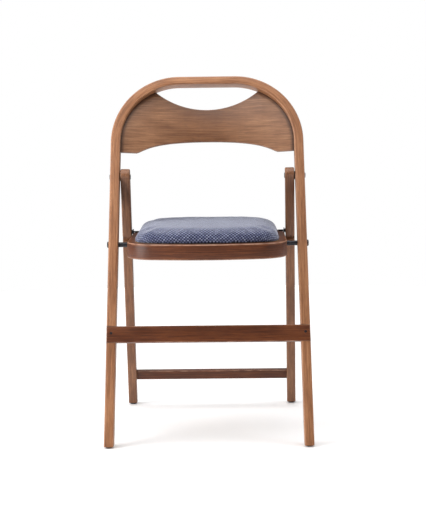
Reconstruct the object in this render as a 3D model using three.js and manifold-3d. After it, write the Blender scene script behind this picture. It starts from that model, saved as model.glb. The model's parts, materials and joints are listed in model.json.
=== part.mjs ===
// Folding chair: a bent front frame, a pair of rear legs and an upholstered seat.
// Millimetres. +X is to the right seen from the front, +Y to the back, +Z up.
// The front frame stands on two feet and leans back. The rear legs turn on the upper pivots,
// the seat turns on the seat pivots, and two hooks on the seat hang on pins in the rear legs.

import * as THREE from 'three';
import { mergeVertices } from 'three/addons/utils/BufferGeometryUtils.js';
import Module from 'manifold-3d';

const wasm = await Module();
wasm.setup();

const degrees = THREE.MathUtils.degToRad;
const SIDES = [['left', -1], ['right', 1]];
const GAP = 0.3; // between pieces that touch

// Front frame, measured along its own lean: s up the frame, n towards the back
const FRAME_LEAN = degrees(18.24);
const FOOT_HALF_WIDTH = 222.6; // outside of the legs at the floor
const FRAME_TAPER = 0.01593; // the legs lean in by this much per unit of s
const TAPER_ANGLE = Math.atan(FRAME_TAPER);
const FRAME_TOP = 817.2;
const BAR_WIDTH = 20.6;
const TOP_BAR_WIDTH = 17.4;
const BAR_DEPTH = 32;
const BAR_ROUND = 3;
const CORNER_RADIUS = 150;
const INNER_CORNER_RADIUS = 131.5;

// Pivots, as s on the middle plane of the front frame
const UPPER_PIVOT_S = 592.4;
const SEAT_PIVOT_S = 440.2;
const BOLT_RADIUS = 3;
const BOLT_HOLE_RADIUS = 3.3;
const SPACER_RADIUS = 5.3;
const SEAT_BOLT_HEAD = { radius: 7, rim: 2.2, crown: 5.2, height: 3.5 };
const UPPER_BOLT_HEAD = { radius: 6, rim: 1, crown: 4.6, height: 2 };
const SLEEVE_RADIUS = 4;
const SLEEVE_LENGTH = 12;
const SLEEVE_FLANGE = { radius: 6, face: 5, thickness: 1.2 };
const WASHER_RADIUS = 9;
const NUT_CORNERS = 11.4;
const NUT_THICKNESS = 4.6;
const BOLT_PAST_NUT = 2.8; // from the nut's middle to the bolt's end
const BUSH_RADIUS = 4.5;

// Front stretcher, half-lapped into the fronts of the legs
const STRETCHER_LOW = 222.1;
const STRETCHER_HIGH = 258;
const STRETCHER_THICKNESS = 12;
const STRETCHER_SCREW_S = 242.8;

// Back panel of bent plywood, its ends housed in grooves in the frame
const PANEL_THICKNESS = 8;
const PANEL_SETBACK = 10.5; // from the front of the frame to the panel's ends
const PANEL_BOW = 20;
const PANEL_HALF_CHORD = 190;
const PANEL_HOUSING = 5.5;
const PANEL_LOW_END = 647.5;
const PANEL_LOW_MIDDLE = 675.2;
const PANEL_LOW_FLAT_FROM = 154;
const PANEL_LOW_HANDLES = [0.76, 0.89]; // of the lower curve, as shares of where it starts
const PANEL_LOW_RISE = 0.25; // of its outer handle
const PANEL_HIGH_MIDDLE = 749;
const PANEL_TIP_HALF = 118;

// Rear legs, measured down from the upper pivot
const REAR_LEAN = degrees(25.66);
const REAR_WIDTH = 20.2;
const REAR_DEPTH = 28;
const REAR_ROUND = 2.5;
const REAR_TOP_RISE = 4; // centre of the rounded top above the upper pivot
const REAR_OUTER_HALF = 190.6;
const REAR_SPLAY = Math.asin(9.9 / 624);
const REAR_STRETCHER_DOWN = 538.3;
const REAR_STRETCHER_HEIGHT = 24.4;
const REAR_STRETCHER_DEPTH = 10;
const DOWEL_RADIUS = 2.5;
const DOWEL_LENGTH = 24;
const DOWEL_OFFSET = 6;
const PIN_DOWN = 141;
const PIN_RADIUS = 3;

// Folding
const LEG_FOLD = degrees(40);
const SEAT_FOLD = Math.PI / 2 - FRAME_LEAN;

// Seat
const RING_TOP = 15.4; // above the seat pivot
const RING_BOTTOM = -17.6;
const RING_WALL = 17.5;
const SEAT_HALF_WIDTH = 169.5;
const SEAT_FRONT = -29;
const SEAT_BACK = 345;
const SEAT_FRONT_RADIUS = 480;
const SEAT_FRONT_CORNER = 70;
const SEAT_BACK_CORNER = 105;
const BASE_THICKNESS = 8;
const BASE_DROP = 0.4; // below the top of the ring
const CUSHION_INSET = 14.8;
const CUSHION_SETBACK = 4;
const CUSHION_HEIGHT = 32;

// Rest hooks on the sides of the seat
const HOOK_INNER_X = 168.3;
const HOOK_OUTER_X = 170.3;
const HOOK_EAR_RADIUS = 6.5;
const HOOK_TAB_THICKNESS = 2.4;
const HOOK_TAB_REACH = 11.5;
const HOOK_TAB_LENGTH = 11;
const HOOK_FRONT = 24.7; // ends of the plate, from the pin
const HOOK_BACK = 15.3;
const HOOK_LOW = -8; // from the seat pivot
const HOOK_SHOULDER = 12;
const HOOK_POCKET = { front: 29, back: 16 }; // cut into the ring's side, from the pin
const HOOK_PLATE_SCREWS = [[-18.7, 3], [9.3, -3]]; // along from the pin, up from the pivot
const HOOK_SCREW = { head: 2.7, shank: 1.6, length: 12 };
const HOOK_TAB_SCREW = { head: 2.7, shank: 1.6, length: 14 };
const CLEAT_SCREW = { head: 3.4, shank: 1.8, length: 23 };
const STRETCHER_SCREW = { head: 2.8, shank: 1.8, length: 24, recess: 0.5 };
const CLEAT_WIDTH = 16;
const CLEAT_LOW = -11;
const CLEAT_HALF_LENGTH = 45; // of the front and back blocks
const SIDE_CLEAT = [30, 95]; // ends of the side blocks

// Feet
const GLIDE_RADIUS = 8.5;
const GLIDE_THICKNESS = 4;
const GLIDE_NAIL_RADIUS = 1.5;
const GLIDE_NAIL_TOP = 16;

const upperPivot = onFrame(UPPER_PIVOT_S);
const seatPivot = onFrame(SEAT_PIVOT_S);

const frontWood = () => new THREE.MeshStandardMaterial({ color: 0x9a6242, roughness: 0.5 });
const rearWood = () => new THREE.MeshStandardMaterial({ color: 0x76482f, roughness: 0.5 });
const hiddenWood = () => new THREE.MeshStandardMaterial({ color: 0xb99a72, roughness: 0.8 });
const blackSteel = () =>
  new THREE.MeshStandardMaterial({ color: 0x2b2b2e, roughness: 0.4, metalness: 0.8 });
const blackNylon = () => new THREE.MeshStandardMaterial({ color: 0x1b1b1d, roughness: 0.6 });
const blueCloth = () => new THREE.MeshStandardMaterial({ color: 0x6e7596, roughness: 0.95 });

// ---------------------------------------------------------------- places

// A point on the middle plane of the front frame, in the side view (y, z)
function onFrame(s) {
  return new THREE.Vector2(s * Math.sin(FRAME_LEAN), s * Math.cos(FRAME_LEAN));
}

// Half width of an edge of the front legs that is `half` out at the floor
const legEdge = (half, s) => half - FRAME_TAPER * s;

// Half width of the rear legs' inner face, `down` below the upper pivot
const rearInner = (down) => REAR_OUTER_HALF - REAR_WIDTH + down * Math.tan(REAR_SPLAY);

// Where the rest pin is, seen from the seat, at a share of the fold from 0, open, to 1, folded
function pinFromSeat(share) {
  const lean = REAR_LEAN - share * LEG_FOLD;
  const pin = new THREE.Vector2(Math.sin(lean), -Math.cos(lean)).multiplyScalar(PIN_DOWN);
  return pin.add(upperPivot).sub(seatPivot).rotateAround(new THREE.Vector2(), -share * SEAT_FOLD);
}

// Where the seat pivot is, seen from the rear legs, at a share of the fold
function seatPivotFromLegs(share) {
  const turn = share * LEG_FOLD - REAR_LEAN;
  return seatPivot.clone().sub(upperPivot).rotateAround(new THREE.Vector2(), turn);
}

// ---------------------------------------------------------------- solids

// The geometry with shared corners merged and triangles without area dropped
function closed(geometry) {
  const bare = geometry.clone();
  bare.deleteAttribute('normal');
  bare.deleteAttribute('uv');
  const merged = mergeVertices(bare, 1e-4);
  const kept = [];
  const corners = merged.index.array;
  for (let i = 0; i < corners.length; i += 3) {
    const [a, b, c] = corners.slice(i, i + 3);
    if (a !== b && b !== c && c !== a) kept.push(a, b, c);
  }
  merged.setIndex(kept);
  merged.computeVertexNormals();
  return merged;
}

function toSolid(geometry) {
  const { attributes, index } = closed(geometry);
  return new wasm.Manifold(new wasm.Mesh({
    numProp: 3,
    vertProperties: new Float32Array(attributes.position.array),
    triVerts: new Uint32Array(index.array),
  }));
}

function fromSolid(solid) {
  const { vertProperties, triVerts } = solid.getMesh();
  const geometry = new THREE.BufferGeometry();
  geometry.setAttribute('position', new THREE.BufferAttribute(vertProperties, 3));
  geometry.setIndex(new THREE.BufferAttribute(triVerts, 1));
  geometry.computeVertexNormals();
  return geometry;
}

const cut = (geometry, tools) =>
  fromSolid(tools.reduce((solid, tool) => solid.subtract(toSolid(tool)), toSolid(geometry)));
const join = (pieces) => fromSolid(pieces.map(toSolid).reduce((a, b) => a.add(b)));
const overlap = (a, b) => fromSolid(toSolid(a).intersect(toSolid(b)));

// An outline pulled up to a plate, rounded along its edges and centred on its thickness
function plate(outline, thickness, round = 0, curveSegments = 8) {
  const geometry = new THREE.ExtrudeGeometry(outline, {
    depth: thickness - 2 * round,
    bevelEnabled: round > 0,
    bevelThickness: round,
    bevelSize: round,
    bevelOffset: -round,
    bevelSegments: 2,
    curveSegments,
  });
  return geometry.translate(0, 0, round - thickness / 2);
}

// Turns a plate so that its outline stands in the X Z plane, or in the Y Z plane
const facingFront = (geometry) => geometry.rotateX(Math.PI / 2);
const facingSide = (geometry) => geometry.rotateX(Math.PI / 2).rotateZ(Math.PI / 2);

function box(low, high) {
  const size = high.map((value, i) => value - low[i]);
  const middle = high.map((value, i) => (value + low[i]) / 2);
  return new THREE.BoxGeometry(...size).translate(...middle);
}

// A turned piece on the X axis. The profile is a list of [radius, distance from the middle].
function turned(profile, side, segments = 24) {
  const points = profile.map(([radius, distance]) => new THREE.Vector2(radius, distance));
  return new THREE.LatheGeometry(points, segments).rotateZ(-side * Math.PI / 2);
}

// The same on the Z axis, with heights in place of distances
function turnedUpright(profile, segments = 24) {
  const points = profile.map(([radius, height]) => new THREE.Vector2(radius, height));
  return new THREE.LatheGeometry(points, segments).rotateX(Math.PI / 2);
}

const rod = (radius, from, to, side) =>
  turned([[0, from], [radius, from], [radius, to], [0, to]], side);
const tube = (inner, outer, from, to, side) =>
  turned([[inner, from], [outer, from], [outer, to], [inner, to], [inner, from]], side);

// A round-ended bar from one point of the side view to another
function slotCutter(from, to, radius, depth) {
  const angle = Math.atan2(to.y - from.y, to.x - from.x);
  const outline = new THREE.Shape();
  outline.absarc(to.x, to.y, radius, angle - Math.PI / 2, angle + Math.PI / 2);
  outline.absarc(from.x, from.y, radius, angle + Math.PI / 2, angle + 1.5 * Math.PI);
  return facingSide(plate(outline, depth));
}

// The room that a round thing needs on its way between two shares of the fold
function pathCutters(path, start, end, steps, radius, depth, x) {
  const cutters = [];
  for (let i = 0; i < steps; i += 1) {
    const from = path(start + (end - start) * i / steps);
    const to = path(start + (end - start) * (i + 1) / steps);
    cutters.push(slotCutter(from, to, radius, depth).translate(x, 0, 0));
  }
  return cutters;
}

// A countersunk wood screw on the X axis, its head's face at zero and its point at -length.
// Grown by `clear` it cuts its own hole, open above the head.
function screw(size, clear = 0) {
  const head = size.head + clear;
  const shank = size.shank + clear;
  const cone = size.head - size.shank;
  const above = clear * 4;
  return turned([
    [0, -size.length - clear], [shank, -size.length + shank], [shank, -cone - clear],
    [head, -clear], [head, above], [0, above],
  ], 1, 16);
}

// ---------------------------------------------------------------- the object's tree

const chair = new THREE.Group();
const leaning = new THREE.Group(); // front frame: local Z is s, local Y is n
const legs = new THREE.Group(); // rear legs: local Z is up the legs from the upper pivot
const seat = new THREE.Group(); // seat: level, from the seat pivot
leaning.rotation.x = -FRAME_LEAN;
legs.position.set(0, upperPivot.x, upperPivot.y);
legs.rotation.x = REAR_LEAN;
seat.position.set(0, seatPivot.x, seatPivot.y);
chair.add(leaning, legs, seat);
chair.updateMatrixWorld(true);

function place(group, name, geometry, material) {
  const mesh = new THREE.Mesh(closed(geometry), material());
  mesh.name = name;
  group.add(mesh);
}

// Geometry given in the chair's own axes, as seen from a group
const seenFrom = (group, geometry) =>
  geometry.applyMatrix4(group.matrixWorld.clone().invert());

// What the floor and the glides take off the bottom of a leg
function footCutters(group, x, y) {
  const ground = box([x - 60, y - 90, -120], [x + 60, y + 90, GLIDE_THICKNESS + GAP]);
  const nail = turnedUpright([
    [0, 0], [GLIDE_NAIL_RADIUS + GAP, 0], [GLIDE_NAIL_RADIUS + GAP, GLIDE_NAIL_TOP + GAP],
    [0, GLIDE_NAIL_TOP + GAP],
  ], 12).translate(x, y, 0);
  return [seenFrom(group, ground), seenFrom(group, nail)];
}

function glide(name, x, y) {
  const profile = [
    [0, 0], [GLIDE_RADIUS - 1.5, 0], [GLIDE_RADIUS, 1.2], [GLIDE_RADIUS, GLIDE_THICKNESS],
    [GLIDE_NAIL_RADIUS, GLIDE_THICKNESS], [GLIDE_NAIL_RADIUS, GLIDE_NAIL_TOP - 2],
    [0, GLIDE_NAIL_TOP],
  ];
  place(chair, name, turnedUpright(profile).translate(x, y, 0), blackNylon);
}

// ---------------------------------------------------------------- front frame

// The corner arc of an edge that is `half` out at the floor and ends at height `top`
function hoopArc(half, radius, top) {
  const s = top - radius;
  return { x: legEdge(half, s) - radius / Math.cos(TAPER_ANGLE), s, radius };
}

const innerArc = hoopArc(
  FOOT_HALF_WIDTH - BAR_WIDTH, INNER_CORNER_RADIUS, FRAME_TOP - TOP_BAR_WIDTH,
);

function hoopOutline() {
  const outer = hoopArc(FOOT_HALF_WIDTH, CORNER_RADIUS, FRAME_TOP);
  const below = -20; // trimmed at the floor afterwards
  const outerFoot = legEdge(FOOT_HALF_WIDTH, below);
  const outline = new THREE.Shape();
  outline.absarc(outer.x, outer.s, outer.radius, TAPER_ANGLE, Math.PI / 2);
  outline.absarc(-outer.x, outer.s, outer.radius, Math.PI / 2, Math.PI - TAPER_ANGLE);
  outline.lineTo(-outerFoot, below);
  outline.lineTo(BAR_WIDTH - outerFoot, below);
  outline.absarc(-innerArc.x, innerArc.s, innerArc.radius, Math.PI - TAPER_ANGLE, Math.PI / 2, true);
  outline.absarc(innerArc.x, innerArc.s, innerArc.radius, Math.PI / 2, TAPER_ANGLE, true);
  outline.lineTo(outerFoot - BAR_WIDTH, below);
  outline.lineTo(outerFoot, below);
  return outline;
}

// The bent panel, grown by `clear` all round to cut its groove
function panel(clear = 0) {
  const housing = PANEL_HOUSING + clear;
  const radius = innerArc.radius + housing;
  const endHalf = legEdge(FOOT_HALF_WIDTH - BAR_WIDTH + housing, PANEL_LOW_END);
  const tipAngle = Math.acos((PANEL_TIP_HALF - innerArc.x) / radius);
  const tipS = innerArc.s + radius * Math.sin(tipAngle);
  const high = PANEL_HIGH_MIDDLE + clear;
  const low = PANEL_LOW_MIDDLE - clear;
  const lowEnd = PANEL_LOW_END - clear;
  const dip = tipS - high;
  const dipRadius = (PANEL_TIP_HALF ** 2 + dip ** 2) / (2 * dip);
  const dipAngle = Math.asin(PANEL_TIP_HALF / dipRadius);
  const down = -Math.PI / 2;
  const [near, far] = PANEL_LOW_HANDLES.map((share) => share * PANEL_LOW_FLAT_FROM);
  const shoulder = lowEnd + (low - lowEnd) * PANEL_LOW_RISE;

  const outline = new THREE.Shape();
  outline.absarc(innerArc.x, innerArc.s, radius, TAPER_ANGLE, tipAngle);
  outline.absarc(0, high + dipRadius, dipRadius, down + dipAngle, down - dipAngle, true);
  outline.absarc(-innerArc.x, innerArc.s, radius, Math.PI - tipAngle, Math.PI - TAPER_ANGLE);
  outline.lineTo(-endHalf, lowEnd);
  outline.lineTo(-PANEL_LOW_FLAT_FROM, lowEnd);
  outline.bezierCurveTo(-far, shoulder, -near, low, 0, low);
  outline.bezierCurveTo(near, low, far, shoulder, PANEL_LOW_FLAT_FROM, lowEnd);
  outline.lineTo(endHalf, lowEnd);

  const bowRadius = (PANEL_HALF_CHORD ** 2 + PANEL_BOW ** 2) / (2 * PANEL_BOW);
  const front = PANEL_SETBACK - BAR_DEPTH / 2 + PANEL_BOW;
  const centre = front - bowRadius;
  const reach = Math.asin((PANEL_HALF_CHORD + 25) / bowRadius);
  const sheet = new THREE.Shape();
  const [first, last] = [Math.PI / 2 - reach, Math.PI / 2 + reach];
  sheet.absarc(0, centre, bowRadius + PANEL_THICKNESS + clear, first, last);
  sheet.absarc(0, centre, bowRadius - clear, last, first, true);
  const curved = plate(sheet, 260, 0, 10).translate(0, 0, 720);
  return overlap(curved, facingFront(plate(outline, 140, 0, 7)));
}

function stretcherOutline(clear = 0) {
  const [low, high] = [STRETCHER_LOW - clear, STRETCHER_HIGH + clear];
  const half = (s) => legEdge(FOOT_HALF_WIDTH + clear * 20, s);
  return new THREE.Shape([
    new THREE.Vector2(-half(low), low), new THREE.Vector2(half(low), low),
    new THREE.Vector2(half(high), high), new THREE.Vector2(-half(high), high),
  ]);
}

const stretcherFront = -BAR_DEPTH / 2;
const stretcherMiddle = stretcherFront + STRETCHER_THICKNESS / 2;

// Screw through the stretcher into a leg, its head just below the wood
function stretcherScrew(side, clear = 0) {
  const x = legEdge(FOOT_HALF_WIDTH - BAR_WIDTH / 2, STRETCHER_SCREW_S);
  return screw(STRETCHER_SCREW, clear).rotateZ(-Math.PI / 2)
    .translate(side * x, stretcherFront + STRETCHER_SCREW.recess, STRETCHER_SCREW_S);
}

const frontFootS = GLIDE_THICKNESS / Math.cos(FRAME_LEAN);
const frontFootX = legEdge(FOOT_HALF_WIDTH - BAR_WIDTH / 2, frontFootS);
const frontFootY = frontFootS * Math.sin(FRAME_LEAN);

function buildFrontFrame() {
  const lap = facingFront(plate(stretcherOutline(GAP), STRETCHER_THICKNESS + 2 * GAP));
  const holes = SIDES.flatMap(([, side]) => [
    rod(BOLT_HOLE_RADIUS, 150, 240, side).translate(0, 0, UPPER_PIVOT_S),
    rod(BOLT_HOLE_RADIUS, 150, 240, side).translate(0, 0, SEAT_PIVOT_S),
    stretcherScrew(side, GAP),
    ...footCutters(leaning, side * frontFootX, frontFootY),
  ]);
  const hoop = facingFront(plate(hoopOutline(), BAR_DEPTH, BAR_ROUND));
  const housings = [panel(GAP), lap.translate(0, stretcherMiddle, 0)];
  place(leaning, 'bent_front_frame', cut(hoop, [...housings, ...holes]), frontWood);
  place(leaning, 'back_panel', panel(), frontWood);

  const stretcher = facingFront(plate(stretcherOutline(), STRETCHER_THICKNESS, 2))
    .translate(0, stretcherMiddle, 0);
  const screwHoles = SIDES.map(([, side]) => stretcherScrew(side, GAP));
  place(leaning, 'front_stretcher', cut(stretcher, screwHoles), frontWood);
  for (const [name, side] of SIDES) {
    place(leaning, `stretcher_screw_${name}`, stretcherScrew(side), blackSteel);
    glide(`front_glide_${name}`, side * frontFootX, frontFootY);
  }
}

// ---------------------------------------------------------------- pivots

// A round-headed bolt on the X axis from `end` to the leg's outside
function bolt(end, outside, head, side) {
  return turned([
    [0, end], [BOLT_RADIUS, end], [BOLT_RADIUS, outside], [head.radius, outside],
    [head.radius, outside + head.rim], [head.crown, outside + head.height],
    [0, outside + head.height],
  ], side);
}

// Upper pivots: a bolt through front and rear leg into a sleeve nut with a thin flange
function buildUpperPivots() {
  const outside = legEdge(FOOT_HALF_WIDTH, UPPER_PIVOT_S) + GAP;
  const inside = rearInner(0) - GAP;
  const sleeveEnd = inside + SLEEVE_LENGTH;
  const { radius, face, thickness } = SLEEVE_FLANGE;
  for (const [name, side] of SIDES) {
    const nut = turned([
      [0, inside - thickness], [face, inside - thickness], [radius, inside - thickness / 2],
      [radius, inside], [SLEEVE_RADIUS, inside], [SLEEVE_RADIUS, sleeveEnd],
      [BOLT_HOLE_RADIUS, sleeveEnd], [BOLT_HOLE_RADIUS, inside + thickness],
      [0, inside + thickness],
    ], side);
    const washer = tube(
      BOLT_HOLE_RADIUS, WASHER_RADIUS, REAR_OUTER_HALF + 0.4, REAR_OUTER_HALF + 1.6, side,
    );
    const pieces = [
      ['bolt', bolt(inside + 2 * thickness, outside, UPPER_BOLT_HEAD, side), blackSteel],
      ['nut', nut, blackSteel],
      ['washer', washer, blackNylon],
    ];
    for (const [kind, geometry, material] of pieces) {
      place(leaning, `upper_pivot_${kind}_${name}`, geometry.translate(0, 0, UPPER_PIVOT_S), material);
    }
  }
}

function hexNut(acrossCorners, bore, thickness) {
  const corners = Array.from({ length: 6 }, (_, i) => {
    const angle = i * Math.PI / 3;
    return new THREE.Vector2(Math.cos(angle), Math.sin(angle)).multiplyScalar(acrossCorners / 2);
  });
  const outline = new THREE.Shape(corners);
  outline.holes.push(new THREE.Path().absarc(0, 0, bore, 0, 2 * Math.PI, true));
  return facingSide(plate(outline, thickness));
}

// Seat pivots: a bolt through front leg, spacer tube and seat ring, with a nut inside the ring
function buildSeatPivots() {
  const outside = legEdge(FOOT_HALF_WIDTH, SEAT_PIVOT_S) + GAP;
  const legInside = legEdge(FOOT_HALF_WIDTH - BAR_WIDTH, SEAT_PIVOT_S);
  const ringInside = SEAT_HALF_WIDTH - RING_WALL;
  const ringOutside = SEAT_HALF_WIDTH + 2 * GAP;
  const nutMiddle = ringInside - 0.5 - NUT_THICKNESS / 2;
  for (const [name, side] of SIDES) {
    const pieces = [
      ['bolt', bolt(nutMiddle - BOLT_PAST_NUT, outside, SEAT_BOLT_HEAD, side)],
      ['spacer', tube(BOLT_HOLE_RADIUS, SPACER_RADIUS, ringOutside, legInside - GAP, side)],
      ['nut', hexNut(NUT_CORNERS, BOLT_HOLE_RADIUS, NUT_THICKNESS)
        .translate(side * nutMiddle, 0, 0)],
    ];
    for (const [kind, geometry] of pieces) {
      place(leaning, `seat_pivot_${kind}_${name}`, geometry.translate(0, 0, SEAT_PIVOT_S), blackSteel);
    }
  }
}

// ---------------------------------------------------------------- rear legs

function rearLegOutline() {
  const half = REAR_DEPTH / 2;
  const outline = new THREE.Shape();
  outline.absarc(0, REAR_TOP_RISE, half, 0, Math.PI);
  outline.lineTo(-half, -660);
  outline.lineTo(half, -660);
  return outline;
}

const rearFootDown = (upperPivot.y - GLIDE_THICKNESS) / Math.cos(REAR_LEAN);
const rearFootX = rearInner(rearFootDown) + REAR_WIDTH / 2;
const rearFootY = upperPivot.x + rearFootDown * Math.sin(REAR_LEAN);

// The dowels of one end of the rear stretcher
function stretcherDowels(side, clear = 0) {
  const joint = rearInner(REAR_STRETCHER_DOWN);
  const half = DOWEL_LENGTH / 2 + clear;
  return [DOWEL_OFFSET, -DOWEL_OFFSET].map((offset) =>
    rod(DOWEL_RADIUS + clear, joint - half, joint + half, side)
      .translate(0, 0, offset - REAR_STRETCHER_DOWN));
}

function buildRearLegs() {
  for (const [name, side] of SIDES) {
    const leg = facingSide(plate(rearLegOutline(), REAR_WIDTH, REAR_ROUND))
      .rotateY(-side * REAR_SPLAY)
      .translate(side * (REAR_OUTER_HALF - REAR_WIDTH / 2), 0, 0);
    const sleeveHole = rod(SLEEVE_RADIUS + GAP, 150, rearInner(0) + SLEEVE_LENGTH + 1, side);
    const spacerNotch = pathCutters(
      seatPivotFromLegs, 1, 0.86, 2, SPACER_RADIUS + 0.7, 60, side * (REAR_OUTER_HALF - 10),
    );
    const pinHole = rod(2 + GAP, 150, rearInner(PIN_DOWN) + 13, side).translate(0, 0, -PIN_DOWN);
    const cutters = [
      rod(BOLT_HOLE_RADIUS, 150, 230, side), sleeveHole, ...spacerNotch, pinHole,
      ...stretcherDowels(side, GAP), ...footCutters(legs, side * rearFootX, rearFootY),
    ];
    place(legs, `rear_leg_${name}`, cut(leg, cutters), rearWood);
    glide(`rear_glide_${name}`, side * rearFootX, rearFootY);

    const face = rearInner(PIN_DOWN) - GAP;
    const pin = turned([
      [0, HOOK_INNER_X + GAP], [PIN_RADIUS, HOOK_INNER_X + GAP], [PIN_RADIUS, face - 1.6],
      [4.5, face - 1.6], [4.5, face], [2, face], [2, face + 12], [0, face + 12],
    ], side);
    place(legs, `rest_pin_${name}`, pin.translate(0, 0, -PIN_DOWN), blackSteel);
    stretcherDowels(side).forEach((dowel, i) => {
      place(legs, `rear_stretcher_dowel_${name}_${i + 1}`, dowel, hiddenWood);
    });
  }

  const halves = [-1, 1].map((end) => REAR_STRETCHER_DOWN - end * REAR_STRETCHER_HEIGHT / 2);
  const [low, high] = halves.map((down) => [rearInner(down) - GAP, -down]);
  const outline = new THREE.Shape([
    new THREE.Vector2(-low[0], low[1]), new THREE.Vector2(low[0], low[1]),
    new THREE.Vector2(high[0], high[1]), new THREE.Vector2(-high[0], high[1]),
  ]);
  const holes = SIDES.flatMap(([, side]) => stretcherDowels(side, GAP));
  const stretcher = facingFront(plate(outline, REAR_STRETCHER_DEPTH, 2));
  place(legs, 'rear_stretcher', cut(stretcher, holes), rearWood);
}

// ---------------------------------------------------------------- seat

// The seat's outline in plan, moved in by `inset` and back by `back`
function seatOutline(inset, back = 0) {
  const frontX = SEAT_HALF_WIDTH - SEAT_FRONT_CORNER;
  const sweepY = SEAT_FRONT + SEAT_FRONT_RADIUS;
  const frontY = sweepY - Math.sqrt((SEAT_FRONT_RADIUS - SEAT_FRONT_CORNER) ** 2 - frontX ** 2);
  const frontAngle = Math.atan2(frontY - sweepY, frontX);
  const backX = SEAT_HALF_WIDTH - SEAT_BACK_CORNER;
  const backY = SEAT_BACK - SEAT_BACK_CORNER;
  const fromPivot = back - seatPivot.x;
  const quarter = Math.PI / 2;
  const outline = new THREE.Shape();
  outline.absarc(0, sweepY + fromPivot, SEAT_FRONT_RADIUS - inset, -Math.PI - frontAngle, frontAngle);
  outline.absarc(frontX, frontY + fromPivot, SEAT_FRONT_CORNER - inset, frontAngle, 0);
  outline.absarc(backX, backY + fromPivot, SEAT_BACK_CORNER - inset, 0, quarter);
  outline.absarc(-backX, backY + fromPivot, SEAT_BACK_CORNER - inset, quarter, 2 * quarter);
  outline.absarc(-frontX, frontY + fromPivot, SEAT_FRONT_CORNER - inset, Math.PI, Math.PI - frontAngle);
  return outline;
}

// Side view of a rest hook: a plate on the ring's side, an ear over the pin, a tab on the ring
function hookOutline(rest) {
  const tabTop = RING_TOP + GAP + HOOK_TAB_THICKNESS;
  const outline = new THREE.Shape();
  outline.moveTo(rest.x - HOOK_FRONT, HOOK_LOW);
  outline.lineTo(rest.x + HOOK_BACK, HOOK_LOW);
  outline.lineTo(rest.x + HOOK_BACK, tabTop);
  const earStart = Math.asin((tabTop - rest.y) / HOOK_EAR_RADIUS);
  outline.absarc(rest.x, rest.y, HOOK_EAR_RADIUS, earStart, Math.PI);
  outline.lineTo(rest.x - HOOK_EAR_RADIUS, HOOK_SHOULDER);
  outline.lineTo(rest.x - HOOK_FRONT, HOOK_SHOULDER);
  return outline;
}

// The three screws of a hook: two through its plate, one down through its tab
function hookScrews(rest, side, clear = 0) {
  const toSide = (geometry) => (side > 0 ? geometry : geometry.rotateZ(Math.PI));
  const through = HOOK_PLATE_SCREWS.map(([along, up]) =>
    toSide(screw(HOOK_SCREW, clear)).translate(side * (HOOK_OUTER_X - 0.2), rest.x + along, up));
  const down = screw(HOOK_TAB_SCREW, clear).rotateY(-Math.PI / 2).translate(
    side * (HOOK_INNER_X - HOOK_TAB_REACH / 2), rest.x + HOOK_BACK - HOOK_TAB_LENGTH / 2,
    RING_TOP + GAP + HOOK_TAB_THICKNESS - 0.1,
  );
  return [...through, down];
}

const between = (a, b) => (a < b ? [a, b] : [b, a]);

function buildHooks() {
  const rest = pinFromSeat(0);
  const thickness = HOOK_OUTER_X - HOOK_INNER_X;
  const tabLow = RING_TOP + GAP;
  for (const [name, side] of SIDES) {
    const upright = facingSide(plate(hookOutline(rest), thickness, 0, 6))
      .translate(side * (HOOK_INNER_X + thickness / 2), 0, 0);
    const [left, right] = between(side * (HOOK_INNER_X - HOOK_TAB_REACH), side * (HOOK_OUTER_X - 0.5));
    const tab = box(
      [left, rest.x + HOOK_BACK - HOOK_TAB_LENGTH, tabLow],
      [right, rest.x + HOOK_BACK, tabLow + HOOK_TAB_THICKNESS],
    );
    const notch = pathCutters(pinFromSeat, 0, 0.24, 6, PIN_RADIUS + 0.4, 10, side * HOOK_OUTER_X);
    const cutters = [...notch, ...hookScrews(rest, side, GAP)];
    place(seat, `rest_hook_${name}`, cut(join([upright, tab]), cutters), blackSteel);
    hookScrews(rest, side).forEach((geometry, i) => {
      place(seat, `rest_hook_screw_${name}_${i + 1}`, geometry, blackSteel);
    });
  }
}

// What the hooks, the pins and the bolts take out of the seat ring
function ringCutters() {
  const rest = pinFromSeat(0);
  return SIDES.flatMap(([, side]) => {
    const [left, right] = between(side * (HOOK_INNER_X - GAP), side * (SEAT_HALF_WIDTH + 5));
    const [front, back] = [rest.x - HOOK_POCKET.front, rest.x + HOOK_POCKET.back];
    const pocketX = side * (HOOK_INNER_X - GAP + 5);
    return [
      box([left, front, RING_BOTTOM - 5], [right, back, RING_TOP + 5]),
      ...pathCutters(pinFromSeat, 0.76, 1, 5, PIN_RADIUS + 0.8, 10, pocketX),
      rod(BUSH_RADIUS + GAP, 140, 180, side),
      ...hookScrews(rest, side, GAP),
    ];
  });
}

// Blocks glued inside the ring that carry the base, as [name, low corner, high corner]
function cleatBlocks() {
  const inside = SEAT_HALF_WIDTH - RING_WALL - GAP;
  const front = SEAT_FRONT + RING_WALL - seatPivot.x + 3;
  const back = SEAT_BACK - RING_WALL - seatPivot.x - GAP;
  const [low, high] = [CLEAT_LOW, RING_TOP - BASE_DROP - BASE_THICKNESS - GAP];
  const half = CLEAT_HALF_LENGTH;
  const [near, far] = SIDE_CLEAT;
  return [
    ['front', [-half, front, low], [half, front + CLEAT_WIDTH, high]],
    ['back', [-half, back - CLEAT_WIDTH, low], [half, back, high]],
    ['left', [-inside, near, low], [-inside + CLEAT_WIDTH, far, high]],
    ['right', [inside - CLEAT_WIDTH, near, low], [inside, far, high]],
  ];
}

// Screw up through the middle of a block into the base
function cleatScrew([, low, high], clear = 0) {
  const middle = [0, 1].map((axis) => (low[axis] + high[axis]) / 2);
  return screw(CLEAT_SCREW, clear).rotateY(Math.PI / 2).translate(...middle, low[2] + 0.4);
}

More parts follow.
